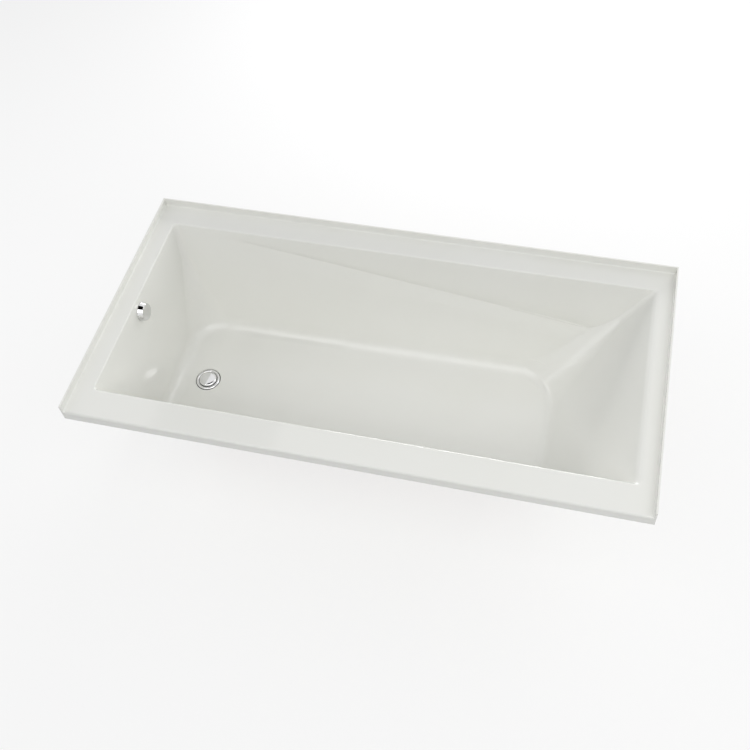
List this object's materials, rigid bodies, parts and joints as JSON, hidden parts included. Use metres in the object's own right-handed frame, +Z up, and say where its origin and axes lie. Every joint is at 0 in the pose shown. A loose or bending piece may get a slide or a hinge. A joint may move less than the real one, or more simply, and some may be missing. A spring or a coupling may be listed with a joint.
{
  "type": "alcove bathtub",
  "caption": "Alcove bathtub in white acrylic with tile flange, sloped backrest, armrest creases, levelling feet and a cable-driven pop-up waste and overflow.",
  "frame": {"origin": "on the floor, below the middle of the tub's overall box", "axes": "+X along the tub from the drain end to the backrest end, +Y from the front lip to the back wall, +Z up"},
  "size_m": [1.5208, 0.762, 0.508],
  "materials": {
    "acrylic": "gloss",
    "laminate": "rough",
    "timber": "sawn",
    "board": "pressed",
    "chrome": "polished",
    "zinc": "zinc plated",
    "black_pipe": "satin",
    "grey_pad": "moulded",
    "white_nut": "moulded",
    "seal": "matte"
  },
  "bodies": {
    "tub": {"tub_shell": "acrylic", "fibreglass_backing": "laminate", "base_board": "board", "front_rim_board": "board", "back_rim_board": "board", "cross_rail_drain_end": "timber", "cross_rail_middle": "timber", "cross_rail_backrest_end": "timber", "rail_screws": "zinc", "tee_nuts": "zinc", "lock_nuts": "zinc", "flange_seal": "seal", "drain_flange": "chrome", "drain_gasket": "seal", "drain_shoe": "black_pipe", "waste_arm": "black_pipe", "waste_tee": "black_pipe", "tail_pipe": "black_pipe", "tee_top_nut": "white_nut", "tee_side_nut": "white_nut", "overflow_slip_nut": "white_nut", "slip_washers": "seal", "overflow_pipe": "black_pipe", "overflow_body": "black_pipe", "overflow_gasket": "seal", "overflow_plate": "black_pipe", "overflow_screws": "zinc", "control_cable": "seal"},
    "knob": {"overflow_knob": "chrome", "knob_spindle": "white_nut"},
    "stopper": {"stopper_cap": "chrome", "stopper_seal": "seal", "stopper_stem": "zinc", "lift_pin": "white_nut"},
    "foot_1": {"foot_stud_1": "zinc", "foot_pad_1": "grey_pad"},
    "foot_2": {"foot_stud_2": "zinc", "foot_pad_2": "grey_pad"},
    "foot_3": {"foot_stud_3": "zinc", "foot_pad_3": "grey_pad"},
    "foot_4": {"foot_stud_4": "zinc", "foot_pad_4": "grey_pad"},
    "foot_5": {"foot_stud_5": "zinc", "foot_pad_5": "grey_pad"},
    "foot_6": {"foot_stud_6": "zinc", "foot_pad_6": "grey_pad"}
  },
  "joints": [
    {"name": "knob_turn", "type": "hinge", "parent": "tub", "child": "knob", "pos_m": [-0.70075, 0.0055, 0.4366], "axis": [0.9925, 0, 0.1219], "range_deg": [0, 90]},
    {"name": "stopper_lift", "type": "slide", "parent": "tub", "child": "stopper", "axis": [0, 0, 1], "range_m": [0, 0.009]},
    {"name": "foot_1_extend", "type": "slide", "parent": "tub", "child": "foot_1", "axis": [0, 0, -1], "range_m": [0, 0.025]},
    {"name": "foot_2_extend", "type": "slide", "parent": "tub", "child": "foot_2", "axis": [0, 0, -1], "range_m": [0, 0.025]},
    {"name": "foot_3_extend", "type": "slide", "parent": "tub", "child": "foot_3", "axis": [0, 0, -1], "range_m": [0, 0.025]},
    {"name": "foot_4_extend", "type": "slide", "parent": "tub", "child": "foot_4", "axis": [0, 0, -1], "range_m": [0, 0.025]},
    {"name": "foot_5_extend", "type": "slide", "parent": "tub", "child": "foot_5", "axis": [0, 0, -1], "range_m": [0, 0.025]},
    {"name": "foot_6_extend", "type": "slide", "parent": "tub", "child": "foot_6", "axis": [0, 0, -1], "range_m": [0, 0.025]}
  ],
  "couplings": [
    {"joint": "knob_turn", "follows": "stopper_lift", "rad_per_m": 174.5}
  ]
}
